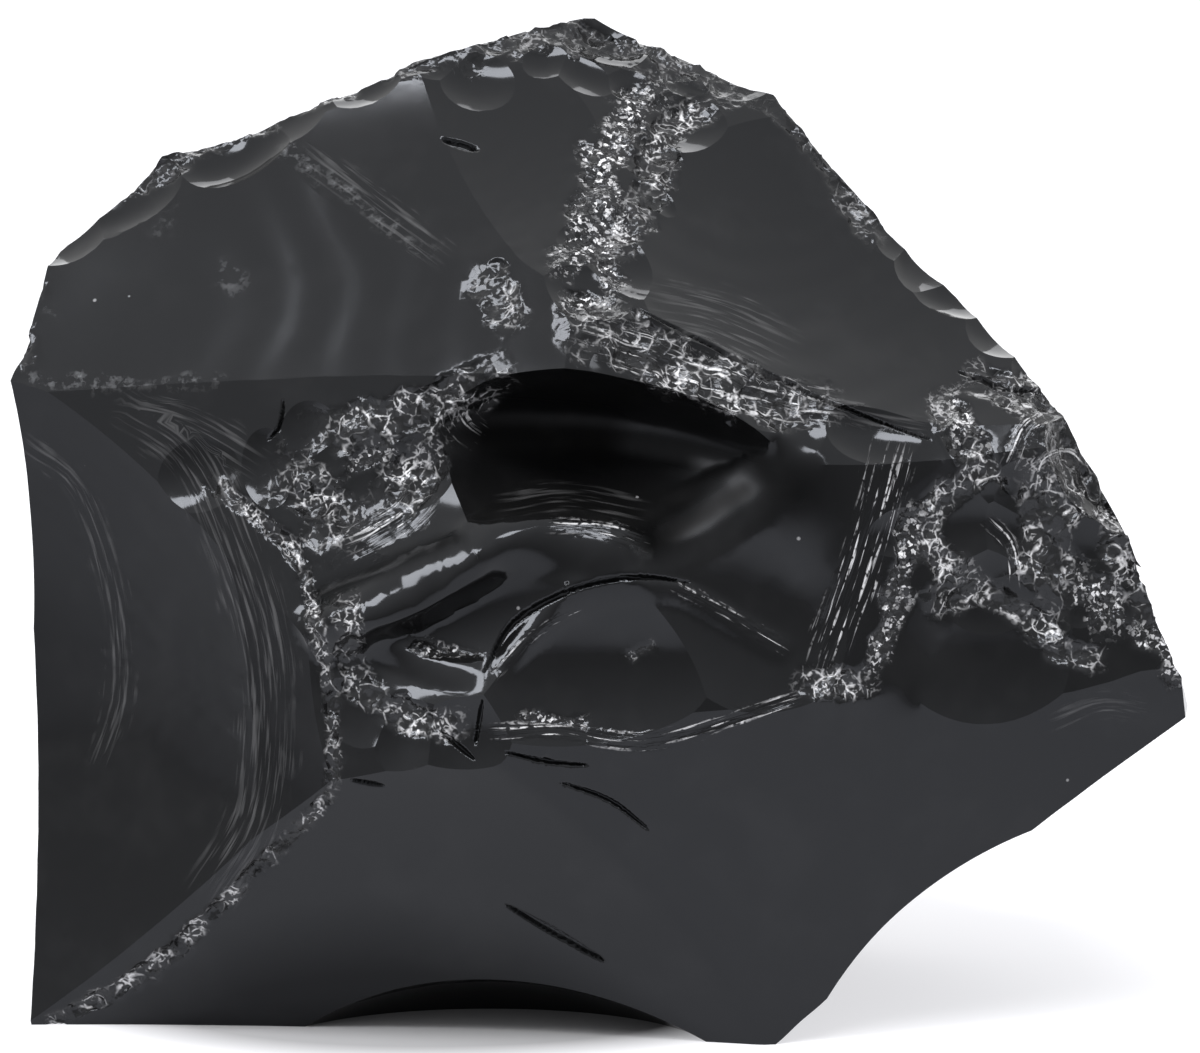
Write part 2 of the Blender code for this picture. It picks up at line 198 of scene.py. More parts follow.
# Cups: the middle of the rim, the way it faces (degrees round from the front,
# degrees up), half its length, half its width, hollow, and its turn from level.
CUP_SCARS = {
    "brow_bevel": ((2.0, 0.25, 61.25), 21.0, 51.5, 12.0, 12.0, 0.1, 0.0),
    "nose_cup": ((3.2, -17.7, 30.6), 4.0, 4.0, 12.0, 7.6, 2.6, -2.0),
    "cavern": ((2.2, -13.4, 44.8), -10.0, -5.0, 14.6, 6.0, 7.6, -8.0),
    "cavern_side": ((10.0, -14.7, 38.9), 10.0, -6.0, 10.5, 7.6, 2.2, -52.0),
    "wave": ((-7.6, -17.4, 34.4), -8.0, 4.0, 13.0, 4.8, 1.9, 18.0),
    "hackle_cup": ((-15.0, -12.25, 43.75), -6.0, 20.0, 7.2, 5.0, 1.2, 25.0),
    "foot_arch": ((-8.5, -9.0, 0.5), 0.0, -66.0, 13.5, 9.0, 3.2, 0.0),
    "under_bite": ((24.5, -9.0, 8.0), 90.0, -50.0, 13.0, 12.5, 2.8, 0.0),
    "tip_flake": ((43.7, -8.0, 27.5), 80.0, 5.0, 8.0, 5.0, 0.1, 0.0),
    "back_left": ((-20.0, 25.0, 40.0), 205.0, 8.0, 34.0, 30.0, 2.5, 20.0),
    "back_right": ((16.0, 25.0, 46.0), 160.0, 14.0, 32.0, 28.0, 2.5, -15.0),
    "back_foot": ((4.0, 27.0, 14.0), 176.0, -16.0, 36.0, 22.0, 2.0, 5.0),
    "back_scoop_high": ((0.0, 25.5, 56.0), 182.0, 16.0, 13.0, 9.0, 2.0, 35.0),
    "back_scoop_left": ((-31.0, 18.0, 34.0), 236.0, 6.0, 15.0, 9.0, 1.8, 70.0),
    "back_scoop_low": ((-8.0, 27.0, 22.0), 186.0, -4.0, 12.0, 7.0, 1.6, -20.0),
    "back_scoop_right": ((26.0, 20.5, 38.0), 148.0, 4.0, 13.0, 8.0, 1.8, 55.0),
    "back_scoop_mid": ((10.0, 29.5, 30.0), 165.0, 12.0, 11.0, 7.0, 1.5, -40.0),
    "side_scoop_low": ((-40.0, 7.0, 12.0), 262.0, -4.0, 12.0, 7.5, 1.3, 65.0),
    "side_scoop_high": ((-34.0, 11.0, 32.0), 232.0, 4.0, 11.0, 7.0, 1.3, 40.0),
    "heel_scoop_left": ((-27.0, 19.5, 13.0), 215.0, 4.0, 12.0, 8.0, 1.6, 15.0),
    "heel_scoop_right": ((16.0, 24.0, 12.0), 168.0, -16.0, 11.0, 6.5, 1.4, 20.0),
    "under_scoop": ((25.0, 0.5, 13.0), 105.0, -46.0, 11.0, 7.0, 1.4, 30.0),
}

# %% The crushed places
# From, to, how wide, the way they face (degrees round, degrees up), how many chips.
CRUSHED_PLACES = {
    "crest": ((-11.0, 10.0, 72.5), (12.0, 13.0, 70.0), 2.6, 12.0, 50.0, 10),
    "brow_bevel": ((6.0, 8.0, 68.0), (0.0, -9.0, 56.0), 2.4, 20.0, 50.0, 9),
    "ledge": ((1.0, -10.0, 52.0), (19.0, -10.0, 46.5), 1.8, 18.0, 30.0, 9),
    "hackle": ((-26.0, -10.0, 45.5), (-13.0, -14.0, 41.0), 4.0, -16.0, 20.0, 11),
    "cheek": ((27.0, -8.0, 43.0), (37.0, -7.0, 29.5), 5.0, 14.0, 8.0, 15),
    "nose_side": ((-18.0, -17.0, 26.0), (-11.0, -19.0, 25.0), 1.5, -10.0, 10.0, 4),
    "shoulder_rim": ((-42.0, 5.0, 57.0), (-17.0, 9.0, 71.0), 1.0, -40.0, 65.0, 8),
    "cheek_rim": ((20.0, 9.0, 61.5), (38.0, -6.0, 43.0), 1.2, 50.0, 40.0, 7),
    "back_rim": ((-24.0, 20.0, 60.0), (10.0, 24.0, 63.0), 3.0, 185.0, 50.0, 7),
    "back_ridge": ((-6.0, 28.0, 24.0), (2.0, 27.0, 52.0), 1.5, 185.0, 5.0, 7),
}
CHIP_SEED = 7
CHIP_SHORTEST = 1.3
CHIP_LONGEST = 2.9
CHIP_NARROWEST = 0.55
CHIP_HOLLOW = 0.17
CHIP_TILT = 16.0
SIGHT_LENGTH = 14.0
SIGHT_STEP = 0.25
CHIP_RISE = 2.5
CHIP_THICKNESS = 8.0
CORE = Vector((-2.0, 0.0, 38.0))

# %% Turn the tables into scars
Scar = namedtuple("Scar", "name frame half_length half_width hollow rise")
FLAKE_RISE = 60.0


def corner(name):
    return Vector(CORNERS[name])


def rim_frame(centre, along, outward):
    """Axes of a scar: x along its rim, z out of the rock, origin in the rim's middle."""
    across = outward.cross(along)
    frame = Matrix((along, across, outward)).transposed().to_4x4()
    frame.translation = centre
    return frame


def pointing_out(normal, centre):
    if normal.dot(centre - CORE) < 0.0:
        return -normal
    return normal


def oval_rim(end_a, end_b, side):
    """The ellipse that has end_a and end_b as the ends of one axis and passes side."""
    centre = (end_a + end_b) / 2
    half_length = (end_b - end_a).length / 2
    along = (end_b - end_a).normalized()
    to_side = side - centre
    reach_along = to_side.dot(along)
    sideways = to_side - along * reach_along
    share = max(1.0 - (reach_along / half_length) ** 2, 0.05)
    half_width = sideways.length / math.sqrt(share)
    outward = pointing_out(along.cross(sideways.normalized()), centre)
    return rim_frame(centre, along, outward), half_length, half_width


def round_rim(corner_a, corner_b, corner_c):
    """The circle through three corners."""
    side_b = corner_b - corner_a
    side_c = corner_c - corner_a
    normal = side_b.cross(side_c)
    towards = normal.cross(side_b) * side_c.length_squared
    towards += side_c.cross(normal) * side_b.length_squared
    centre = corner_a + towards / (2.0 * normal.length_squared)
    radius = (corner_a - centre).length
    outward = pointing_out(normal.normalized(), centre)
    return rim_frame(centre, side_b.normalized(), outward), radius, radius


def cup_rim(centre, azimuth, elevation, turn):
    """Axes of a cup from the way it faces and the turn of its length."""
    azimuth = math.radians(azimuth)
    elevation = math.radians(elevation)
    outward = Vector((math.sin(azimuth) * math.cos(elevation),
                      -math.cos(azimuth) * math.cos(elevation),
                      math.sin(elevation)))
    level = Vector((0.0, 0.0, 1.0)).cross(outward).normalized()
    steep = outward.cross(level)
    turn = math.radians(turn)
    along = level * math.cos(turn) + steep * math.sin(turn)
    return rim_frame(Vector(centre), along, outward)


def big_scars():
    """The scars of the three tables, in their order."""
    scars = []
    for name, (end_a, end_b, side, hollow) in OVAL_SCARS.items():
        rim = oval_rim(corner(end_a), corner(end_b), corner(side))
        scars.append(Scar(name, *rim, hollow, FLAKE_RISE))
    for name, (first, second, third, hollow) in ROUND_SCARS.items():
        rim = round_rim(corner(first), corner(second), corner(third))
        scars.append(Scar(name, *rim, hollow, FLAKE_RISE))
    for name, (centre, azimuth, elevation, *sizes, turn) in CUP_SCARS.items():
        frame = cup_rim(centre, azimuth, elevation, turn)
        scars.append(Scar(name, frame, *sizes, FLAKE_RISE))
    return scars


def is_rock(point, scars):
    """Whether a point is left standing by every scar."""
    for scar in scars:
        along, across, out = scar.frame.inverted() @ point
        dip = (along / scar.half_length) ** 2 + (across / scar.half_width) ** 2 - 1.0
        if out > scar.hollow * dip:
            return False
    return True


def first_rock(point, outward, scars):
    """The first rock met on the line that comes in to a point from outside."""
    place = point + outward * SIGHT_LENGTH
    for _ in range(round(2.0 * SIGHT_LENGTH / SIGHT_STEP)):
        if is_rock(place, scars):
            return place
        place = place - outward * SIGHT_STEP
    return None


def chip_scars(scars):
    """Small scars strewn over the crushed places, each on the face it finds there."""
    rng = random.Random(CHIP_SEED)
    chips = []
    for name, (start, end, spread, azimuth, elevation, count) in CRUSHED_PLACES.items():
        for index in range(count):
            middle = Vector(start).lerp(Vector(end), (index + rng.random()) / count)
            middle += Vector([rng.uniform(-spread, spread) for _ in range(3)])
            way_out = (azimuth + rng.uniform(-CHIP_TILT, CHIP_TILT),
                       elevation + rng.uniform(-CHIP_TILT, CHIP_TILT))
            turn = rng.uniform(0.0, 180.0)
            length = rng.uniform(CHIP_SHORTEST, CHIP_LONGEST)
            width = length * rng.uniform(CHIP_NARROWEST, 1.0)
            outward = cup_rim(middle, *way_out, turn).col[2].xyz
            face = first_rock(middle, outward, scars)
            if face is not None:
                frame = cup_rim(face, *way_out, turn)
                chips.append(Scar(f"{name}_chip_{index}", frame, length, width,
                                  CHIP_HOLLOW * width, CHIP_RISE))
    return chips


big = big_scars()
SCARS = big + chip_scars(big)
SCAR_NUMBER = {scar.name: number for number, scar in enumerate(SCARS)}
RESTING_FACE = len(SCARS)
print(len(big), "big scars and", len(SCARS) - len(big), "chips")

# %% [markdown]
# ## How deep a point lies
# With numpy the question is asked for thousands of points at once. The depth is
# positive inside the glass and zero on the scar, and the slope is the direction
# in which it grows fastest. Dividing by the slope's length turns it into
# millimetres.

# %% Depth behind a scar
def plain_depth(points, scar):
    """Depth of points behind one scar in mm, and the unit slope at each."""
    axes = np.array(scar.frame.to_3x3()).T
    local = (points - np.array(scar.frame.translation)) @ axes.T
    along = local[:, 0] / scar.half_length
    across = local[:, 1] / scar.half_width
    depth = scar.hollow * (along ** 2 + across ** 2 - 1.0) - local[:, 2]
    slope = (np.outer(2.0 * scar.hollow * along / scar.half_length, axes[0])
             + np.outer(2.0 * scar.hollow * across / scar.half_width, axes[1]) - axes[2])
    steep = np.linalg.norm(slope, axis=1)
    if scar.rise < FLAKE_RISE:
        reach = math.sqrt(1.0 + scar.rise / scar.hollow)
        outside = (np.abs(along) > reach) | (np.abs(across) > reach) | (depth < -CHIP_THICKNESS)
        depth = np.where(outside, SIGHT_LENGTH, depth)
    return depth / steep, slope / steep[:, None]

# %% [markdown]
# ## Smooth random values
# Nothing on broken glass is perfectly even. Two kinds of random pattern roughen
# it: a smooth noise, which bends ripples and frays edges, and scallops, the
# bowls that hundreds of tiny chips leave side by side. Both come from a seeded
# table of random numbers, so every run gives the same stone.

# %% Noise and scallops
LATTICE = 32


def smooth_noise(points, size, seed):
    """Smooth random values from -1 to 1 that change over about size mm."""
    values = np.random.default_rng(seed).uniform(-1.0, 1.0, (LATTICE,) * 3)
    low = np.floor(points / size).astype(int)
    share = points / size - low
    share = share ** 3 * (share * (share * 6.0 - 15.0) + 10.0)
    total = np.zeros(len(points))
    for step in itertools.product((0, 1), repeat=3):
        cell = tuple(((low + step) % LATTICE).T)
        weight = np.where(step, share, 1.0 - share).prod(axis=1)
        total += weight * values[cell]
    return total


def scallops(points, size, seed):
    """0 at the middle of a random bowl, rising to about 0.5 at its rim."""
    jitter = np.random.default_rng(seed).uniform(0.0, 1.0, (LATTICE,) * 3 + (3,))
    low = np.floor(points / size).astype(int)
    nearest = np.full(len(points), np.inf)
    for step in itertools.product((-1, 0, 1), repeat=3):
        cell = low + step
        middle = cell + jitter[tuple((cell % LATTICE).T)]
        nearest = np.minimum(nearest, ((points / size - middle) ** 2).sum(axis=1))
    return nearest

# %% [markdown]
# ## Ripples
# The blow that took off a flake ran through the glass as a wave, and it left
# rings round the point that was struck. Each big face gets a point of impact, a
# spacing and a height of ring. The rings are only hundredths of a millimetre
# high, yet black glass is a mirror, so they bend the reflections visibly.

# %% Ripples and slow waves on the scars
# Name: (point of impact, ring spacing, height, first ring, last ring)
RINGS = {
    "left_hollow": ((-47.0, -4.0, 27.0), 1.5, 0.022, 11.0, 24.0),
    "belly_right": ((10.0, -16.0, 24.0), 3.4, 0.010, 6.0, 60.0),
    "belly_left": ((-22.0, -17.0, 24.0), 4.2, 0.010, 5.0, 60.0),
    "shoulder": ((-46.0, 0.0, 50.0), 5.0, 0.012, 8.0, 60.0),
    "brow_hollow": ((-14.0, 8.0, 70.0), 2.2, 0.012, 5.0, 40.0),
    "temple_hollow": ((10.0, 10.0, 68.0), 3.0, 0.014, 8.0, 50.0),
    "cavern": ((-14.0, -14.0, 44.0), 2.4, 0.012, 8.0, 40.0),
    "cavern_side": ((-4.0, -14.0, 44.0), 2.8, 0.012, 6.0, 40.0),
    "nose_cup": ((-8.0, -20.0, 26.0), 2.0, 0.014, 5.0, 30.0),
    "left_side": ((-40.0, 20.0, 50.0), 4.0, 0.02, 6.0, 70.0),
    "back_left": ((-24.0, 26.0, 62.0), 4.5, 0.04, 6.0, 70.0),
    "back_right": ((12.0, 28.0, 64.0), 4.0, 0.04, 6.0, 70.0),
    "back_foot": ((30.0, 24.0, 26.0), 4.0, 0.04, 6.0, 70.0),
    "undercut": ((42.0, 0.0, 24.0), 3.5, 0.03, 6.0, 70.0),
    "right_flake_mid": ((34.0, 0.0, 50.0), 3.0, 0.02, 4.0, 60.0),
}
SWELL_SIZE = 9.0
SWELL_HEIGHT = 0.05
RING_WANDER = 1.6


def relief(points, scar):
    """How far the real face stands proud of the plain scar, in mm."""
    height = SWELL_HEIGHT * smooth_noise(points, SWELL_SIZE, SCAR_NUMBER[scar.name])
    if scar.name in RINGS:
        impact, spacing, ring_height, first, last = RINGS[scar.name]
        distance = np.linalg.norm(points - impact, axis=1)
        distance = distance + RING_WANDER * smooth_noise(points, SWELL_SIZE, CHIP_SEED)
        shown = np.clip((distance - first) / spacing, 0.0, 1.0)
        shown = shown * np.clip((last - distance) / spacing, 0.0, 1.0)
        strength = 0.6 + 0.6 * smooth_noise(points, 2.0 * SWELL_SIZE, CHIP_SEED + 1)
        height += shown * strength * ring_height * np.sin(2.0 * math.pi * distance / spacing)
    return height

# %% [markdown]
# ## Soft ridges
# Most ridges are knife sharp. A few, such as the crest of the wave in the middle
# of the front, rolled over as the flake came off. There the two scars are
# blended over a width instead of being cut off where they meet.

# %% Depth with relief and soft ridges
SOFT_RIDGES = {
    frozenset(("wave", "cavern")): 1.2,
    frozenset(("wave", "apron")): 0.9,
    frozenset(("cavern", "cavern_side")): 1.0,
    frozenset(("belly_left", "belly_right")): 0.35,
}
is_small = {SCAR_NUMBER[scar.name] for scar in SCARS if scar.rise < FLAKE_RISE}


def one_depth(points, number):
    if number == RESTING_FACE:
        slope = np.tile((0.0, 0.0, 1.0), (len(points), 1))
        return points[:, 2].copy(), slope
    depth, slope = plain_depth(points, SCARS[number])
    if number not in is_small:
        depth = depth + relief(points, SCARS[number])
    return depth, slope


def blended(depth, slope, other_depth, other_slope, width):
    """The smooth minimum of two depths."""
    share = np.clip(0.5 + 0.5 * (other_depth - depth) / width, 0.0, 1.0)
    mixed = other_depth + (depth - other_depth) * share - width * share * (1.0 - share)
    mixed_slope = other_slope + (slope - other_slope) * share[:, None]
    return mixed, mixed_slope


def depth_at(points, number):
    depth, slope = one_depth(points, number)
    if number == RESTING_FACE:
        return depth, slope
    for pair, width in SOFT_RIDGES.items():
        if SCARS[number].name in pair:
            other, = pair - {SCARS[number].name}
            other_depth, other_slope = one_depth(points, SCAR_NUMBER[other])
            depth, slope = blended(depth, slope, other_depth, other_slope, width)
    return depth, slope

# %% [markdown]
# ## The camera
# The camera comes before the fine mesh, because the places of the front are
# given as the camera sees them: in the pixels of its 1200 by 1053 frame. It
# stands far away with a long lens, looks down ten degrees, and aims at the
# middle of the lump.

# %% Camera
FRAME_MIDDLE = (600.0, 526.5)
FRAME_WIDTH = 1200
PIXEL = 0.0761
SIGHT_DISTANCE = 450.0
LOOK_DOWN = math.radians(10.0)
TARGET = np.array((0.0, 0.0, 37.0))
SENSOR = 36.0

to_right = np.array((1.0, 0.0, 0.0))
to_front = np.array((0.0, math.cos(LOOK_DOWN), -math.sin(LOOK_DOWN)))
to_top = np.array((0.0, math.sin(LOOK_DOWN), math.cos(LOOK_DOWN)))
eye = TARGET - to_front * SIGHT_DISTANCE

camera_data = bpy.data.cameras.new("camera")
camera_data.sensor_width = SENSOR
camera_data.lens = SENSOR * SIGHT_DISTANCE / (FRAME_WIDTH * PIXEL)
camera = bpy.data.objects.new("camera", camera_data)
turned = Matrix(np.array((to_right, to_top, -to_front)).T.tolist()).to_4x4()
camera.matrix_world = Matrix.Translation(Vector((eye * MM).tolist())) @ turned
bpy.context.scene.collection.objects.link(camera)
bpy.context.scene.camera = camera


def seen_at(points):
    """Where the camera sees points, in frame pixels."""
    ray = points - eye
    scale = SIGHT_DISTANCE / (ray @ to_front) / PIXEL
    return np.stack((FRAME_MIDDLE[0] + ray @ to_right * scale,
                     FRAME_MIDDLE[1] - ray @ to_top * scale), axis=1)


print(f"lens {camera_data.lens:.1f} mm, eye at {np.round(eye, 1)} mm")

# %% [markdown]
# ## Strokes
# Crushed bands, slits and scuffs are drawn like strokes of a brush, each a line
# of frame pixels with a width. A vertex belongs to a stroke if the camera sees
# it within that width and it faces the camera. Three more kinds are soft. A roll
# raises a rounded ridge, a melt rounds off a sharp one, and a shade darkens a
# hollow.

# %% Strokes on the front
# Kind: {name: (half width in pixels, points)}
STROKES = {
    "crushed": {
        "arc_ridge": (8, ((205, 478), (262, 520), (300, 565), (322, 650), (333, 720), (333, 795))),
        "belly_edge": (8, ((335, 790), (250, 875), (150, 970), (45, 1025))),
        "nose_side": (17, ((350, 590), (350, 640), (365, 690), (420, 722), (470, 722))),
        "hackle_left": (32, ((262, 470), (320, 500), (355, 560))),
        "hackle_top": (26, ((300, 435), (370, 425), (440, 400), (515, 368))),
        "hackle_right": (26, ((370, 515), (410, 480), (440, 430))),
        "pit_patch": (20, ((492, 262), (498, 300), (520, 332))),
        "brow_bevel_right": (20, ((722, 98), (668, 130), (648, 200), (606, 262))),
        "ledge": (28, ((560, 322), (640, 348), (700, 378), (790, 403), (845, 408))),
        "block": (22, ((553, 312), (630, 316))),
        "band_foot": (16, ((790, 680), (850, 685), (880, 680))),
        "cheek_left": (15, ((940, 385), (955, 440), (985, 470), (935, 510), (940, 560), (985, 590))),
        "cheek_top": (22, ((960, 375), (1040, 400), (1080, 420))),
        "cheek_mid": (30, ((1020, 430), (1060, 480), (1040, 560), (1090, 600))),
        "cheek_low": (14, ((920, 610), (970, 590), (1020, 610), (1060, 650), (1110, 660))),
        "right_rim": (24, ((1100, 440), (1115, 520), (1150, 600), (1178, 665))),
    },
    "mottle": {
        "crest": (27, ((445, 55), (520, 27), (600, 28), (660, 50), (765, 95))),
        "crest_right": (14, ((765, 95), (820, 150), (850, 205), (885, 245))),
        "rim_left": (16, ((40, 262), (62, 228), (150, 172), (225, 132))),
        "rim_top": (15, ((215, 136), (330, 88), (390, 68), (450, 52))),
        "rim_side": (10, ((12, 372), (28, 300), (42, 255))),
        "flank": (22, ((1085, 420), (1125, 520), (1150, 600))),
    },
    "glitter": {
        "brow_bevel": (20, ((672, 84), (622, 122), (600, 180), (584, 232), (562, 285))),
        "brow_foot": (16, ((618, 190), (606, 240), (612, 300))),
        "block_rim": (7, ((555, 308), (590, 300), (622, 312))),
        "band_right": (13, ((918, 500), (898, 590), (872, 680))),
        "cheek_strip": (15, ((945, 385), (965, 430), (985, 462))),
        "cheek_knot": (14, ((938, 558), (975, 575))),
        "cheek_corner": (20, ((1065, 565), (1100, 600), (1108, 645))),
        "tip_knot": (13, ((1130, 620), (1165, 650), (1180, 690))),
        "nose_glint": (7, ((515, 718), (590, 722))),
        "lip_glint": (8, ((405, 645), (485, 655))),
        "cup_glint": (5, ((628, 660), (655, 642))),
        "hackle_knot": (10, ((345, 470), (380, 452), (400, 460))),
    },
    "streak": {
        "rib_band": (24, ((896, 440), (880, 500), (852, 590), (822, 672))),
        "ledge_flakes": (24, ((575, 332), (640, 350), (700, 374), (790, 400), (842, 408))),
        "arch_left": (4, ((492, 676), (535, 634), (580, 610))),
        "arch_right": (6, ((672, 584), (722, 610), (792, 652))),
        "nose_lines": (9, ((490, 733), (560, 730), (640, 742), (730, 720), (800, 697))),
        "crest_lines": (9, ((548, 527), (600, 528), (650, 543))),
        "fringe": (20, ((448, 395), (462, 425), (480, 440))),
        "hackle_flakes": (20, ((345, 550), (400, 520), (430, 490))),
        "cheek_arc": (11, ((1008, 470), (1030, 425), (1070, 415), (1105, 450), (1108, 500))),
        "cheek_arc_small": (9, ((1040, 500), (1045, 465), (1070, 455), (1085, 480))),
        "cheek_fold": (9, ((985, 520), (1010, 545), (1015, 590))),
    },
    "fine": {
        "arc_lines": (30, ((120, 402), (190, 452), (232, 540), (262, 640), (268, 720),
                           (256, 820), (205, 905))),
        "hollow_line": (12, ((20, 440), (80, 490), (115, 600), (118, 700), (95, 770))),
        "temple_rays": (30, ((640, 300), (720, 318), (800, 355))),
        "temple_edge": (12, ((700, 345), (780, 385), (860, 415), (930, 430))),
        "shoulder_ray": (16, ((300, 150), (380, 210), (450, 262))),
        "shelf_lines": (16, ((495, 505), (570, 497), (650, 512))),
        "belly_lip": (10, ((1050, 725), (1100, 706), (1148, 712))),
        "apron_lines": (20, ((110, 405), (190, 425), (265, 470))),
    },
    "slit": {
        "nose_arch": (3.0, ((484, 672), (513, 622), (575, 589), (640, 577), (690, 582))),
        "apron_crack": (2.0, ((283, 400), (280, 425), (268, 440))),
        "belly_lens": (4.0, ((505, 905), (550, 930), (605, 962))),
        "belly_nick": (2.2, ((505, 752), (550, 762), (590, 765))),
        "belly_knick": (2.2, ((560, 782), (610, 800), (650, 830))),
        "nose_slit": (2.6, ((440, 730), (475, 760))),
        "nose_slit_high": (2.6, ((482, 700), (475, 745))),
        "chip_notch": (4.0, ((441, 139), (479, 150))),
        "pit": (9.0, ((488, 266), (508, 268))),
        "strip_nick": (2.2, ((350, 780), (385, 786))),
        "temple_crack": (2.2, ((640, 310), (700, 340), (760, 370), (850, 410), (930, 440))),
        "cheek_crevice": (3.0, ((958, 372), (1000, 384), (1042, 392))),
    },
    "scuff": {
        "shoulder_high": (26, ((150, 215), (180, 235))),
        "shoulder_left": (24, ((45, 320), (60, 300))),
        "shoulder_mid": (16, ((215, 258), (240, 300))),
        "apron_top": (8, ((20, 380), (120, 383), (230, 385))),
        "chip_edge": (7, ((275, 140), (330, 180), (400, 235), (440, 250))),
    },
    "roll": {
        "crest": (44, ((460, 562), (500, 544), (560, 531), (655, 546))),
        "crest_left": (40, ((306, 646), (345, 624), (400, 604), (440, 582), (480, 558), (514, 541))),
        "lip": (24, ((352, 622), (405, 655), (450, 670), (486, 674))),
        "arch": (18, ((500, 674), (530, 636), (582, 605), (640, 592), (682, 594),
                      (732, 622), (792, 657))),
    },
    "shade": {
        "cavern": (84, ((400, 424), (470, 430), (570, 436), (690, 452))),
        "cavern_right": (64, ((580, 436), (690, 456), (860, 515))),
        "side_ridge": (34, ((620, 560), (690, 524), (775, 470))),
        "crest_foot": (15, ((300, 602), (330, 589), (385, 566), (430, 547), (470, 535))),
        "valley": (42, ((370, 632), (440, 605), (510, 580), (580, 566), (660, 566))),
    },
    "melt": {
        "crest": (56, ((474, 548), (530, 538), (600, 545), (690, 535))),
        "knot": (30, ((440, 575), (474, 556), (510, 545))),
        "side": (50, ((600, 556), (690, 524), (800, 470))),
        "dimple": (34, ((903, 720), (902, 668), (915, 630), (950, 604))),
        "facet": (40, ((780, 430), (794, 480), (806, 520), (832, 575), (836, 625))),
    },
}
# How dark each painted shade is, and how high each roll stands in mm.
SHADES = {"cavern": 1.0, "cavern_right": 0.7, "side_ridge": 0.95, "crest_foot": 0.95,
          "valley": 0.2}
ROLL_HEIGHTS = {"crest": 1.5, "crest_left": 2.6, "lip": 0.7, "arch": 0.3}
# The triangles of the fine mesh under each kind of stroke, in mm.
STROKE_CELLS = {"crushed": 0.36, "glitter": 0.34, "streak": 0.34, "mottle": 0.40, "fine": 0.85,
                "slit": 0.13, "scuff": 0.85, "roll": 0.45, "melt": 0.5, "shade": 0.8}
CURVE_PIECES = 4
# The edge of a stroke frays by a coarse and a fine noise, over these sizes in mm.
FRAY_COARSE = 1.6
FRAY_FINE = 0.7
EDGE_SHARE = 0.35
MARGIN = 6.0


def curve_through(path):
    """Points along a smooth curve through a path."""
    path = np.array(path, float)
    path = np.vstack((2.0 * path[0] - path[1], path, 2.0 * path[-1] - path[-2]))
    points = []
    for before, start, end, after in zip(path, path[1:], path[2:], path[3:]):
        for share in np.arange(CURVE_PIECES) / CURVE_PIECES:
            bend = 2.0 * before - 5.0 * start + 4.0 * end - after
            twist = 3.0 * start - before - 3.0 * end + after
            points.append(start + share * (end - before + share * (bend + share * twist)) / 2.0)
    return np.array(points + [path[-2]])


def along_stroke(pixels, path):
    """Distance to a stroke, the same with its side as a sign, and the share of it travelled."""
    curve = curve_through(path)
    nearest = np.full(len(pixels), np.inf)
    sided = np.zeros(len(pixels))
    along = np.zeros(len(pixels))
    travelled = 0.0
    last = len(curve) - 2
    for number, (start, end) in enumerate(zip(curve, curve[1:])):
        step = end - start
        length = np.linalg.norm(step)
        offset = pixels - start
        share = offset @ step / length ** 2
        distance = np.linalg.norm(offset - np.clip(share, 0.0, 1.0)[:, None] * step, axis=1)
        closer = distance < nearest
        nearest = np.where(closer, distance, nearest)
        sideways = (step[0] * offset[:, 1] - step[1] * offset[:, 0]) / length
        sided = np.where(closer, sideways, sided)
        share = np.clip(share, 0.0 if number else -np.inf, np.inf if number == last else 1.0)
        along = np.where(closer, travelled + share * length, along)
        travelled += length
    return nearest, sided, np.stack((along, travelled - along), axis=1)


def round_stroke(pixels, width, path):
    """The numbers of the pixels that lie round a stroke."""
    reach = 2.0 * width + MARGIN
    low = np.min(path, axis=0) - reach
    high = np.max(path, axis=0) + reach
    return np.flatnonzero(((pixels > low) & (pixels < high)).all(axis=1))


def stroke_mask(points, kind, soft):
    """1 inside the strokes of a kind, falling to 0 over a share of their width."""
    pixels = seen_at(points)
    fray = smooth_noise(points, FRAY_COARSE, 5) + 0.5 * smooth_noise(points, FRAY_FINE, 6)
    mask = np.zeros(len(points))
    for width, path in STROKES[kind].values():
        near = round_stroke(pixels, width, path)
        _, sided, along = along_stroke(pixels[near], path)
        if kind == "slit":
            share = along[:, 0] / along.sum(axis=1)
            width = width * np.sqrt(np.clip(4.0 * share * (1.0 - share), 0.05, 1.0))
        inside = 1.0 - (np.abs(sided) / width + soft * fray[near])
        ends = along.min(axis=1) / (2.0 * width) + 0.2 * soft * fray[near]
        drawn = np.clip(inside / EDGE_SHARE, 0.0, 1.0) * np.clip(ends, 0.0, 1.0)
        mask[near] = np.maximum(mask[near], drawn)
    return mask


def roll_share(points, kind, heights=None):
    """1 along the middle of the rounded strokes of a kind, falling softly to 0 at their sides."""
    pixels = seen_at(points)
    share = np.zeros(len(points))
    for name, (width, path) in STROKES[kind].items():
        near = round_stroke(pixels, width, path)
        _, sided, along = along_stroke(pixels[near], path)
        bulge = np.cos(np.clip(sided / width, -1.0, 1.0) * math.pi / 2.0) ** 2
        bulge *= np.clip(along.min(axis=1) / width, 0.0, 1.0)
        if heights:
            bulge *= heights[name]
        share[near] = np.maximum(share[near], bulge)
    return share


def streak_place(points):
    """Place across and along the nearest streak or fine stroke, in mm."""
    pixels = seen_at(points)
    nearest = np.full(len(points), np.inf)
    across = np.zeros(len(points))
    along = np.zeros(len(points))
    for width, path in [*STROKES["streak"].values(), *STROKES["fine"].values()]:
        near = round_stroke(pixels, width, path)
        distance, sided, travelled = along_stroke(pixels[near], path)
        closer = distance / width < nearest[near]
        near = near[closer]
        nearest[near] = distance[closer] / width
        across[near] = sided[closer] * PIXEL
        along[near] = travelled[closer, 0] * PIXEL
    return across, along

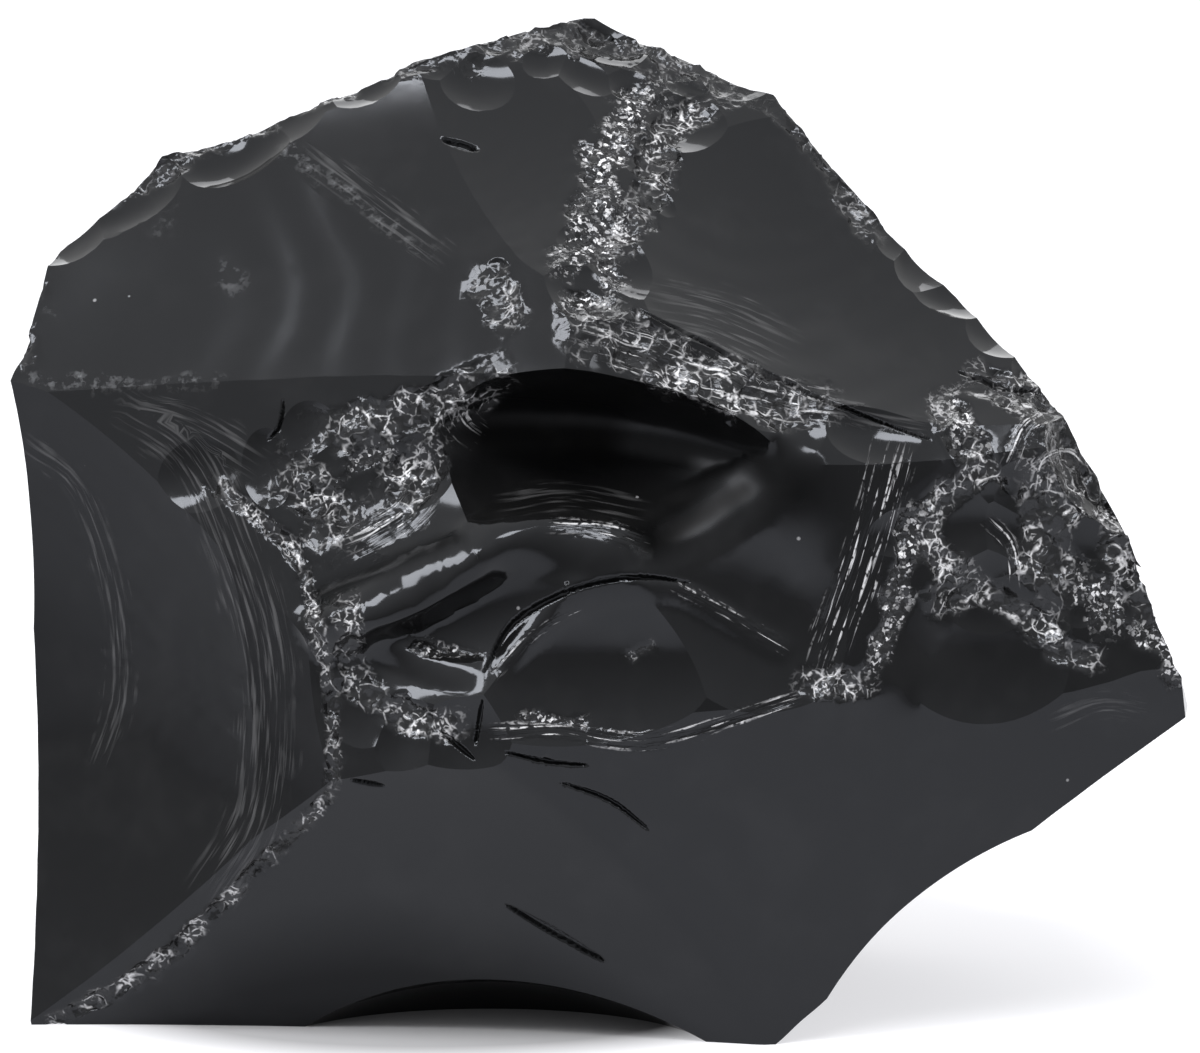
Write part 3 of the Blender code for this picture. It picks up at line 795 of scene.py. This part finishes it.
# %% [markdown]
# ## The fine mesh
# The faceted lump has a few thousand triangles, with thin slivers where scars
# were cut. A copy of it is merged, its slivers are collapsed, and each face is
# told which scar it lies on. Then long edges are split again and again. After
# each round the edges are flipped to make even triangles, the vertices are
# evened out, and every vertex is settled on the scars of the faces around it:
# one scar inside a face, two on a ridge, three at a corner. So the ridges stay
# sharp at any size of triangle.

# %% Copy the lump and name each face's scar
MERGE_GAP = 0.01
SLIVER = 0.12
OFF_SCAR = 0.1
LOOSE = RESTING_FACE + 1


def copy_of_lump():
    bm = bmesh.new()
    bm.from_mesh(frame["nodes"]["obsidian_chunk"].data)
    bmesh.ops.scale(bm, verts=bm.verts[:], vec=(1.0 / MM,) * 3)
    bmesh.ops.remove_doubles(bm, verts=bm.verts[:], dist=MERGE_GAP)
    bmesh.ops.dissolve_degenerate(bm, dist=SLIVER, edges=bm.edges[:])
    bmesh.ops.triangulate(bm, faces=bm.faces[:])
    return bm


def places(verts):
    return np.array([vert.co for vert in verts], float).reshape(-1, 3)


def name_faces(bm):
    """Writes the number of the nearest scar on each face."""
    layer = bm.faces.layers.int.new("scar")
    middles = np.array([face.calc_center_median() for face in bm.faces])
    depths = [plain_depth(middles, scar)[0] for scar in SCARS]
    depths.append(middles[:, 2])
    nearest = np.array(depths).argmin(axis=0)
    nearest[np.abs(np.array(depths).min(axis=0)) > OFF_SCAR] = LOOSE
    for face, number in zip(bm.faces, nearest):
        face[layer] = int(number)
    return layer


lump = copy_of_lump()
scar_of = name_faces(lump)
open_edges = sum(len(edge.link_faces) != 2 for edge in lump.edges)
print(len(lump.faces), "faces,", open_edges, "open edges,",
      len({face[scar_of] for face in lump.faces}), "scars showing")

# %% Settle vertices on their scars
SETTLE_ROUNDS = 3
LONGEST_STEP = 0.6
FIRMNESS = 0.02


def scars_round_verts(bm):
    """Rows of (vertex, scar), one for each scar that a vertex touches."""
    bm.verts.index_update()
    rows = [(vert.index, face[scar_of]) for face in bm.faces for vert in face.verts]
    return np.unique(np.array(rows), axis=0)


def settle(bm):
    rows = scars_round_verts(bm)
    points = places(bm.verts)
    for _ in range(SETTLE_ROUNDS):
        pull = np.zeros((len(points), 3))
        hold = np.tile(np.eye(3) * FIRMNESS, (len(points), 1, 1))
        for number in np.unique(rows[rows[:, 1] != LOOSE, 1]):
            touched = rows[rows[:, 1] == number, 0]
            depth, slope = depth_at(points[touched], number)
            pull[touched] -= slope * depth[:, None]
            hold[touched] += slope[:, :, None] * slope[:, None, :]
        step = np.linalg.solve(hold, pull[:, :, None])[:, :, 0]
        length = np.linalg.norm(step, axis=1, keepdims=True)
        points += step * np.minimum(1.0, LONGEST_STEP / np.maximum(length, 1e-9))
    for vert, point in zip(bm.verts, points):
        vert.co = point

# %% Split, flip and even out
CELL = 0.85
ROUNDS = (4.0, 2.2, 1.2, CELL)
SPLIT_OVER = 1.35
SPLIT_ROUNDS = 4


def is_ridge(edge):
    return len({face[scar_of] for face in edge.link_faces}) > 1


def even_out(bm):
    inner = [edge for edge in bm.edges if not is_ridge(edge)]
    bmesh.ops.beautify_fill(bm, faces=bm.faces[:], edges=inner, method="AREA")
    on_ridge = {vert for edge in bm.edges if is_ridge(edge) for vert in edge.verts}
    free = [vert for vert in bm.verts if vert not in on_ridge]
    bmesh.ops.smooth_vert(bm, verts=free, factor=0.5,
                          use_axis_x=True, use_axis_y=True, use_axis_z=True)
    settle(bm)


def split_long(bm, wanted):
    """Splits edges longer than wanted, an array of mm for edge middles, until none is."""
    for _ in range(SPLIT_ROUNDS):
        middles = np.array([(edge.verts[0].co + edge.verts[1].co) / 2 for edge in bm.edges])
        lengths = np.array([edge.calc_length() for edge in bm.edges])
        too_long = lengths > SPLIT_OVER * wanted(middles)
        if not too_long.any():
            return
        edges = [edge for edge, long in zip(bm.edges[:], too_long) if long]
        bmesh.ops.subdivide_edges(bm, edges=edges, cuts=1)
        bmesh.ops.triangulate(bm, faces=[face for face in bm.faces if len(face.verts) > 3])


settle(lump)
for cell in ROUNDS:
    split_long(lump, lambda middles: np.full(len(middles), cell))
    even_out(lump)
    even_out(lump)
    print(f"cells of {cell} mm: {len(lump.faces)} triangles")

# %% [markdown]
# ## Finer where it is rough
# Smooth faces need no more than this. The crushed bands and slits do, so the
# edges under their strokes are split again, down to a few tenths of a
# millimetre.

# %% Split the edges under the strokes
NOT_HIDDEN = 16.0


def on_front(points):
    return points[:, 1] < NOT_HIDDEN


def stroke_cells(middles):
    cells = np.full(len(middles), CELL)
    pixels = seen_at(middles)
    front = on_front(middles)
    for kind, strokes in STROKES.items():
        for width, path in strokes.values():
            near = round_stroke(pixels, width, path)
            distance = along_stroke(pixels[near], path)[0]
            near = near[(distance < 1.2 * width + 4.0) & front[near]]
            cells[near] = np.minimum(cells[near], STROKE_CELLS[kind])
    return cells


split_long(lump, stroke_cells)
even_out(lump)
split_long(lump, stroke_cells)
even_out(lump)
print(len(lump.faces), "triangles after the strokes")

# %% [markdown]
# ## Melted ridges and rolls
# Round the cavern the glass flows from face to face instead of breaking sharply.
# The vertices under the melt strokes are smoothed many times over, which rounds
# off the ridges there. The rolls are raised along their strokes and smoothed a
# few times, so they stand up as rounded lips.

# %% Melt some ridges and raise the rolls
MELT_ROUNDS = 60
ROLL_ROUNDS = 8
ROLL_CORE = 0.12


def front_state(lump):
    """Where the vertices are, their normals, and which of them face the camera."""
    lump.normal_update()
    points = places(lump.verts)
    normals = np.array([vert.normal for vert in lump.verts])
    return points, normals, (normals @ to_front < 0.1) & on_front(points)


def move_to(lump, points):
    for vert, point in zip(lump.verts, points):
        vert.co = point


def melt(lump, share, rounds):
    """Smooth the vertices whose share is above the core."""
    core = [vert for vert, part in zip(lump.verts, share) if part > ROLL_CORE]
    for _ in range(rounds):
        bmesh.ops.smooth_vert(lump, verts=core, factor=0.5,
                              use_axis_x=True, use_axis_y=True, use_axis_z=True)
    return len(core)


points = places(lump.verts)
melted = roll_share(points, "melt") * on_front(points)
print(melt(lump, melted, MELT_ROUNDS), "vertices melted")
points, normals, _ = front_state(lump)
rolled = roll_share(points, "roll") * on_front(points)
raised = roll_share(points, "roll", ROLL_HEIGHTS) * on_front(points)
move_to(lump, points + normals * raised[:, None])
print(melt(lump, rolled, ROLL_ROUNDS), "vertices rounded")
rolled = np.maximum(rolled, melted)

# %% [markdown]
# ## Crushed glass and slits
# In a crushed band hundreds of tiny flakes came off side by side. Two sizes of
# scallop are pressed into the surface there, which leaves bowls with sharp rims
# between them. A slit is a narrow groove along its stroke.

# %% Press in the scallops and the slits
SCALLOP_SIZES = ((2.0, 0.75, 21), (0.95, 0.34, 22))
SLIT_DEPTH = 0.55
RIB_SPACING = 0.55
RIB_DEPTH = 0.09
RIB_LENGTH = 6.0
RIB_LEVEL = 0.6
HIGHEST_PRESS = 0.1
# How much each kind of stroke is broken, and how far its edge frays.
BREAKING = {"crushed": 1.0, "glitter": 0.8, "mottle": 0.9}
FRAYING = {"crushed": 0.35, "glitter": 0.6, "mottle": 0.5, "streak": 0.25, "fine": 0.3,
           "slit": 0.1, "scuff": 0.6}

points, normals, front = front_state(lump)
masks = {kind: stroke_mask(points, kind, soft) * front for kind, soft in FRAYING.items()}
masks["shade"] = roll_share(points, "shade", SHADES) * on_front(points)
masks["across"], masks["along"] = streak_place(points)

broken = np.max([share * masks[kind] for kind, share in BREAKING.items()], axis=0)
press = np.zeros(len(points))
for size, height, seed in SCALLOP_SIZES:
    press += broken * height * (scallops(points, size, seed) - 0.5)
press -= SLIT_DEPTH * masks["slit"]
lanes = np.stack((masks["across"] / RIB_SPACING, masks["along"] / RIB_LENGTH,
                  np.zeros(len(points))), axis=1)
groove = smooth_noise(lanes, 1.0, 31)
press += RIB_DEPTH * (groove - RIB_LEVEL) * masks["streak"]
move_to(lump, points + normals * np.minimum(press, HIGHEST_PRESS)[:, None])
print(f"{int((broken > 0).sum())} broken vertices, deepest press {-press.min():.2f} mm")

# %% Keep the ridges sharp
SHARP_RIDGE = math.radians(5.0)
SHARP_CRUSHED = math.radians(32.0)

soft_pairs = {frozenset(SCAR_NUMBER[name] for name in pair) for pair in SOFT_RIDGES}
lump.verts.index_update()
for face in lump.faces:
    face.smooth = True
for edge in lump.edges:
    pair = frozenset(face[scar_of] for face in edge.link_faces)
    is_rolled = all(rolled[vert.index] > ROLL_CORE for vert in edge.verts)
    is_sharp = len(pair) > 1 and pair not in soft_pairs and not is_rolled
    limit = SHARP_RIDGE if is_sharp else SHARP_CRUSHED
    edge.smooth = edge.calc_face_angle(0.0) < limit

# %% Make the piece
mesh = bpy.data.meshes.new("obsidian_glass")
bmesh.ops.scale(lump, verts=lump.verts[:], vec=(MM,) * 3)
lump.faces.layers.int.remove(scar_of)
lump.to_mesh(mesh)
lump.free()
for name, mask in masks.items():
    mesh.attributes.new(name, "FLOAT", "POINT").data.foreach_set("value", mask.astype(np.float32))
glass = bpy.data.objects.new("obsidian_glass", mesh)
bpy.context.scene.collection.objects.link(glass)
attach(glass, "root")
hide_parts("obsidian_chunk")
print(len(mesh.polygons), "triangles in the piece")

# %% [markdown]
# ## Shader maths
# A small class wraps a socket of a node, so a material can be written as an
# expression.

# %% Wrap sockets
class Wire:
    """A socket that can be added, subtracted and multiplied."""
    tree = None

    def __init__(self, socket):
        self.socket = socket

    @classmethod
    def node(cls, kind, settings=(), **inputs):
        """A new node. Inputs i0, i1 and so on go by their number, others by name."""
        node = cls.tree.nodes.new(kind)
        for key, value in dict(settings).items():
            setattr(node, key, value)
        for key, value in inputs.items():
            name = key.replace("_", " ")
            by_number = name[0] == "i" and name[1:].isdigit()
            socket = node.inputs[int(name[1:]) if by_number else name]
            if isinstance(value, Wire):
                cls.tree.links.new(value.socket, socket)
            else:
                socket.default_value = value
        return node

    @classmethod
    def maths(cls, operation, *values):
        inputs = {f"i{number}": value for number, value in enumerate(values)}
        return cls(cls.node("ShaderNodeMath", {"operation": operation}, **inputs).outputs[0])

    def __add__(self, other):
        return self.maths("ADD", self, other)

    def __radd__(self, other):
        return self.maths("ADD", other, self)

    def __sub__(self, other):
        return self.maths("SUBTRACT", self, other)

    def __rsub__(self, other):
        return self.maths("SUBTRACT", other, self)

    def __mul__(self, other):
        return self.maths("MULTIPLY", self, other)

    def __rmul__(self, other):
        return self.maths("MULTIPLY", other, self)

    def above(self, low, high):
        """0 below low, 1 above high."""
        node = self.node("ShaderNodeMapRange", {}, Value=self, From_Min=low, From_Max=high)
        return Wire(node.outputs[0])

# %% [markdown]
# ## Black glass
# Obsidian hides nothing: almost all the light that comes back from it is a
# reflection off its surface. The plain faces get a short shader, and only the
# places under strokes get the one with flakes, painted glints, streaks and dust.
# The glints are light painted into the colour. Where the glass is shaded, it
# reflects less: that is painted shade.

# %% Material
# Gray of the painted glints and of the dust specks.
GLINT_AND_SPECK_GRAY = 0.75
SPECK = 0.28
GLASS_IOR = 1.5
GLASS_SPECULAR = 0.33
GLASS_TINT = (0.93, 0.97, 1.06, 1.0)
UNTOUCHED = 0.001

material = bpy.data.materials.new("black_glass")
material.use_nodes = True
Wire.tree = material.node_tree
material.node_tree.nodes.remove(material.node_tree.nodes["Principled BSDF"])
place = Wire(Wire.node("ShaderNodeTexCoord").outputs["Object"])


def attribute(name):
    return Wire(Wire.node("ShaderNodeAttribute", {"attribute_name": name}).outputs["Fac"])


def noise(scale, detail=3.0, rough=0.55, warp=0.0, where=place):
    node = Wire.node("ShaderNodeTexNoise", {}, Vector=where, Scale=scale, Detail=detail,
                     Roughness=rough, Distortion=warp)
    return Wire(node.outputs["Fac"])


def vector_maths(operation, *values):
    inputs = {f"i{number}": value for number, value in enumerate(values)}
    return Wire.node("ShaderNodeVectorMath", {"operation": operation}, **inputs)


def flakes(scale, warp):
    """Flat little flakes: a random value for each, its height in mm, the gap to its edge."""
    shift = Wire.node("ShaderNodeTexNoise", {}, Vector=place, Scale=0.9 * scale, Detail=1.0)
    reach = (warp / scale,) * 3
    moved = vector_maths("MULTIPLY_ADD", Wire(shift.outputs["Color"]), reach, place)
    moved = Wire(moved.outputs["Vector"])
    cell = Wire.node("ShaderNodeTexVoronoi", {}, Vector=moved, Scale=scale)
    edge = Wire.node("ShaderNodeTexVoronoi", {"feature": "DISTANCE_TO_EDGE"},
                     Vector=moved, Scale=scale)
    value = Wire(cell.outputs["Color"])
    offset = Wire(vector_maths("SUBTRACT", moved, Wire(cell.outputs["Position"])).outputs["Vector"])
    lean = Wire(vector_maths("SUBTRACT", value, (0.5, 0.5, 0.5)).outputs["Vector"])
    height = Wire(vector_maths("DOT_PRODUCT", offset, lean).outputs["Value"]) * (1.0 / MM)
    split = Wire.node("ShaderNodeSeparateColor", {}, Color=value)
    return Wire(split.outputs[0]), height, Wire(edge.outputs["Distance"])


def mix_colour(share, dark, light):
    node = Wire.node("ShaderNodeMix", {"data_type": "RGBA"}, i0=share, i6=dark, i7=light)
    return Wire(node.outputs[2])


def gray(value):
    return (value, value, value * 1.03, 1.0)


crushed_wire = attribute("crushed")
glitter_wire = attribute("glitter")
streak_wire = attribute("streak")
fine_wire = attribute("fine")
scuff_wire = attribute("scuff")
mottle_wire = attribute("mottle")

# Flake edges: thin curvy lines, broken into stretches of different brightness.
# Painted into the colour, they are partly the lighter thin edges of flakes and
# partly painted glints.
_, big_height, big_gap = flakes(620.0, 1.3)
_, small_height, small_gap = flakes(1500.0, 1.1)
patches = noise(420.0, 2.0)
glints = noise(2400.0, 1.0)
edges = (1.0 - big_gap.above(0.01, 0.07)) * patches.above(0.40, 0.58) * glints.above(0.38, 0.55)
small_edge_glints = (1.0 - small_gap.above(0.02, 0.12)) * patches.above(0.50, 0.62)
edges = Wire.maths("MAXIMUM", edges, small_edge_glints * glints.above(0.45, 0.6) * 0.8)

# Glitter: painted glints, the finest grains painted light as if they caught a lamp.
grain_value, grain_height, grain_gap = flakes(2700.0, 1.7)
painted_grain_glints = grain_value.above(0.62, 0.95) * grain_gap.above(0.02, 0.10) * glints.above(0.36, 0.5)

# Streaks: lines that run along a band. Their bright lines and the fine lines are
# painted highlights, and the same noise grooves the surface as a bump.
lanes = Wire.node("ShaderNodeCombineXYZ", {}, X=attribute("across"), Y=attribute("along") * 0.05)
lane_noise = noise(3.2, 2.5, 0.6, 0.15, Wire(lanes.outputs[0]))
lines = lane_noise.above(0.56, 0.63) * glints.above(0.35, 0.5)
painted_rib_highlights = lane_noise.above(0.50, 0.66)

dust = scuff_wire * noise(900.0, 5.0, 0.7).above(0.5, 0.66)

# Specks: a few tiny white flakes of dust lie all over the stone.
speck_node = Wire.node("ShaderNodeTexVoronoi", {}, Vector=place, Scale=340.0)
speck_split = Wire.node("ShaderNodeSeparateColor", {}, Color=Wire(speck_node.outputs["Color"]))
speck_size = Wire(speck_split.outputs[0]).above(0.72, 1.0) * 0.075
specks = (speck_size - Wire(speck_node.outputs["Distance"])).above(0.0, 0.02)
# Painted glints of flake edges, grains and streaks, with the dust specks.
painted_glints_and_specks = Wire.maths("MAXIMUM", edges * crushed_wire, painted_grain_glints * glitter_wire)
painted_glints_and_specks = Wire.maths("MAXIMUM", painted_glints_and_specks, lines * streak_wire * 0.8)
painted_glints_and_specks = Wire.maths("MAXIMUM", painted_glints_and_specks, edges * mottle_wire * 0.3)
painted_glints_and_specks = Wire.maths("MAXIMUM", painted_glints_and_specks, specks * SPECK)
haze = Wire.maths("MAXIMUM", Wire.maths("MAXIMUM", crushed_wire, glitter_wire), mottle_wire)
smudges = noise(130.0, 3.0, 0.65).above(0.50, 0.72) * 0.5
# Painted shade: under the shade strokes the glass turns metallic and mirrors less.
shade = attribute("shade")
sheen = 0.07 + 0.03 * noise(60.0, 1.0) + 0.3 * shade
grit = noise(420.0, 2.0) * 0.002


def glass_shader(colour, light, roughness, height):
    """Glass of a colour, with painted glints and dust specks on it and a bumpy surface."""
    bump = Wire(Wire.node("ShaderNodeBump", {}, Strength=1.0, Distance=MM, Height=height).outputs[0])
    shader = Wire.node("ShaderNodeBsdfPrincipled", {}, Roughness=roughness, Metallic=shade,
                       Base_Color=mix_colour(light, colour, gray(GLINT_AND_SPECK_GRAY)), Normal=bump,
                       IOR=GLASS_IOR, Specular_IOR_Level=GLASS_SPECULAR,
                       Specular_Tint=GLASS_TINT)
    return Wire(shader.outputs[0])


smudged = mix_colour(smudges, gray(0.005), gray(0.012))
smooth_glass = glass_shader(smudged, specks * SPECK, sheen, grit)
colour = mix_colour(haze, gray(0.005), mix_colour(patches, gray(0.006), gray(0.03)))
colour = mix_colour(smudges, colour, gray(0.012))
# Painted highlights along the ribs of the fine strokes.
colour = mix_colour(fine_wire * painted_rib_highlights * 0.8, colour, gray(0.07))
colour = mix_colour(dust * 0.5, colour, gray(0.1))
roughness = sheen + 0.14 * haze * noise(700.0) + 0.25 * dust
height = (big_height * 0.5 + small_height * 0.4) * (crushed_wire + mottle_wire * 0.8)
height = height + grain_height * glitter_wire * 0.6 + lane_noise * streak_wire * 0.10
height = height + lane_noise * fine_wire * 0.02 + grit
broken_glass = glass_shader(colour, painted_glints_and_specks, roughness, height)
worked = haze + streak_wire + fine_wire + scuff_wire
is_worked = Wire.maths("GREATER_THAN", worked, UNTOUCHED)
finish = Wire.node("ShaderNodeMixShader", {}, i0=is_worked, i1=smooth_glass, i2=broken_glass).outputs[0]
material.node_tree.links.new(finish, material.node_tree.nodes["Material Output"].inputs["Surface"])
mesh.materials.append(material)

# %% [markdown]
# ## Table and light
# The table is white, but the glass mirrors it. So it has painted light: its
# colour and its glow are darker in front and at the sides than behind, and a
# painted shadow takes its glow away under the lump. The lamps are soft boxes in
# a room with a white ceiling.

# %% Floor
FLOOR_SIZE = 6.0
PAINTED_LIGHT_FADE = (-0.50, -0.06)
# A painted contact shadow: an oval under the lump where the floor doesn't glow.
PAINTED_SHADOW_SHIFT = 0.013
PAINTED_SHADOW_WIDTH = 0.026
PAINTED_SHADOW_DEPTH = 0.017
PAINTED_SHADOW_EDGE = (0.7, 1.3)
# Gray in front and gray behind, of its colour and of its glow: painted light,
# darker in front.
PAINTED_FLOOR_GRAYS = (0.20, 0.40)
PAINTED_FLOOR_GLOWS = (0.20, 0.64)
bm = bmesh.new()
bmesh.ops.create_grid(bm, x_segments=1, y_segments=1, size=FLOOR_SIZE / 2)
floor_mesh = bpy.data.meshes.new("floor")
bm.to_mesh(floor_mesh)
bm.free()
floor = bpy.data.objects.new("floor", floor_mesh)
bpy.context.scene.collection.objects.link(floor)
floor_paint = bpy.data.materials.new("white_table")
floor_paint.use_nodes = True
floor_shader = floor_paint.node_tree.nodes["Principled BSDF"]
Wire.tree = floor_paint.node_tree
floor_place = Wire(Wire.node("ShaderNodeTexCoord").outputs["Object"])
floor_split = Wire.node("ShaderNodeSeparateXYZ", {}, Vector=floor_place).outputs
sideways = Wire.maths("ABSOLUTE", Wire(floor_split["X"]))
painted_light_share = (Wire(floor_split["Y"]) - sideways).above(*PAINTED_LIGHT_FADE)
# Painted shadow: no glow inside the oval under the lump.
across_painted_shadow = (Wire(floor_split["X"]) + PAINTED_SHADOW_SHIFT) * (1.0 / PAINTED_SHADOW_WIDTH)
along_painted_shadow = Wire(floor_split["Y"]) * (1.0 / PAINTED_SHADOW_DEPTH)
under = (across_painted_shadow * across_painted_shadow + along_painted_shadow * along_painted_shadow).above(*PAINTED_SHADOW_EDGE)
floor_colour = mix_colour(painted_light_share, *map(gray, PAINTED_FLOOR_GRAYS)).socket
glow = mix_colour(painted_light_share, *map(gray, PAINTED_FLOOR_GLOWS))
floor_glow_with_painted_shadow = mix_colour(under, gray(0.0), glow).socket
floor_paint.node_tree.links.new(floor_colour, floor_shader.inputs["Base Color"])
floor_paint.node_tree.links.new(floor_glow_with_painted_shadow, floor_shader.inputs["Emission Color"])
floor_shader.inputs["Roughness"].default_value = 0.9
floor_shader.inputs["Specular IOR Level"].default_value = 0.0
floor_shader.inputs["Emission Strength"].default_value = 1.0
floor_mesh.materials.append(floor_paint)

# %% Lamps
# Name: (place, width, height, radiance)
LAMPS = {
    "key": ((-0.10, -0.38, 0.98), 0.80, 0.24, 13.0),
    "key_left": ((-0.70, -0.33, 0.78), 0.40, 0.32, 12.0),
    "left": ((-0.85, -0.15, 0.45), 0.14, 0.14, 3.0),
    "right": ((0.85, -0.05, 0.50), 0.14, 0.14, 4.0),
    "behind": ((0.0, 0.9, 0.75), 0.7, 0.7, 2.5),
}
LAMP_AIM = Vector((0.0, 0.0, 0.04))
for name, (spot, width, height, radiance) in LAMPS.items():
    lamp_data = bpy.data.lights.new(name, "AREA")
    lamp_data.shape = "RECTANGLE"
    lamp_data.size = width
    lamp_data.size_y = height
    lamp_data.energy = radiance * math.pi * width * height
    lamp = bpy.data.objects.new(name, lamp_data)
    lamp.location = spot
    aim = LAMP_AIM - Vector(spot)
    lamp.rotation_euler = aim.to_track_quat("-Z", "Y").to_euler()
    bpy.context.scene.collection.objects.link(lamp)

# %% World
# A white ceiling over grey walls, and a darker side of the room behind the camera.
CEILING = 0.98
WALLS = 0.52
DARKENING = 0.30
DARK_SIDE = Vector((0.36, -1.0, 0.10)).normalized()
DARK_EDGE = (math.cos(math.radians(62.0)), math.cos(math.radians(22.0)))
world = bpy.data.worlds.new("studio")
world.use_nodes = True
Wire.tree = world.node_tree
way = Wire(Wire.node("ShaderNodeTexCoord").outputs["Generated"])
towards = Wire.node("ShaderNodeVectorMath", {"operation": "DOT_PRODUCT"}, i0=way, i1=DARK_SIDE)
dark = Wire(towards.outputs["Value"]).above(*DARK_EDGE)
upward = Wire(Wire.node("ShaderNodeSeparateXYZ", {}, Vector=way).outputs["Z"]).above(0.1, 0.75)
direct = Wire(Wire.node("ShaderNodeLightPath").outputs["Is Camera Ray"])
room = (WALLS + (CEILING - WALLS) * upward) * (1.0 - DARKENING * dark)
strength = room + (1.0 - room) * direct
background = world.node_tree.nodes["Background"]
background.inputs["Color"].default_value = (1.0, 1.0, 1.0, 1.0)
world.node_tree.links.new(strength.socket, background.inputs["Strength"])
bpy.context.scene.world = world
bpy.context.scene.view_settings.view_transform = "Standard"
